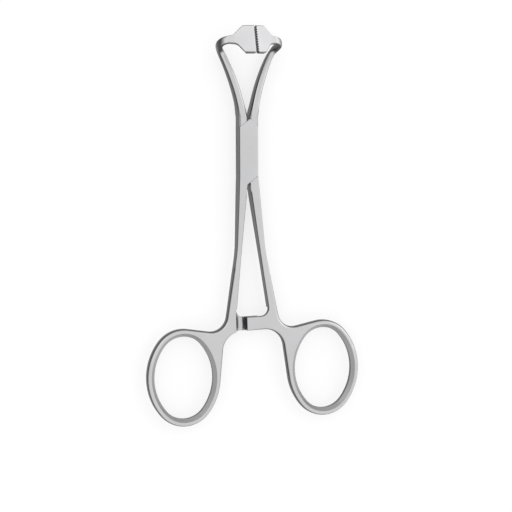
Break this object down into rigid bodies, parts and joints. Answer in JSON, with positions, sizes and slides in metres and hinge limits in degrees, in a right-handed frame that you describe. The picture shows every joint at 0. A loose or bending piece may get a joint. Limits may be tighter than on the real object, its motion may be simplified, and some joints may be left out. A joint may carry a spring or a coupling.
{
  "type": "towel forceps",
  "caption": "Ring-handled towel forceps with a box lock, an interlocking ratchet and fan-shaped jaw plates whose toothed edges meet.",
  "frame": {"origin": "on the pivot axis of the box lock, at the flat back of the box, which is the face that it rests on", "axes": "+Y along the instrument towards the jaws, +X to the right seen from the front, +Z out of the front, along the pivot pin"},
  "size_m": [0.0753, 0.1349, 0.0159],
  "materials": {
    "satin_steel": "satin",
    "pin_steel": "ground"
  },
  "bodies": {
    "box_side": {"box_half": "satin_steel", "lock_pin": "pin_steel"},
    "tongue_side": {"tongue_half": "satin_steel"}
  },
  "joints": [
    {"name": "box_lock", "type": "hinge", "parent": "box_side", "child": "tongue_side", "pos_m": [0, 0, 0], "axis": [0, 0, 1], "range_deg": [0, 45]}
  ]
}
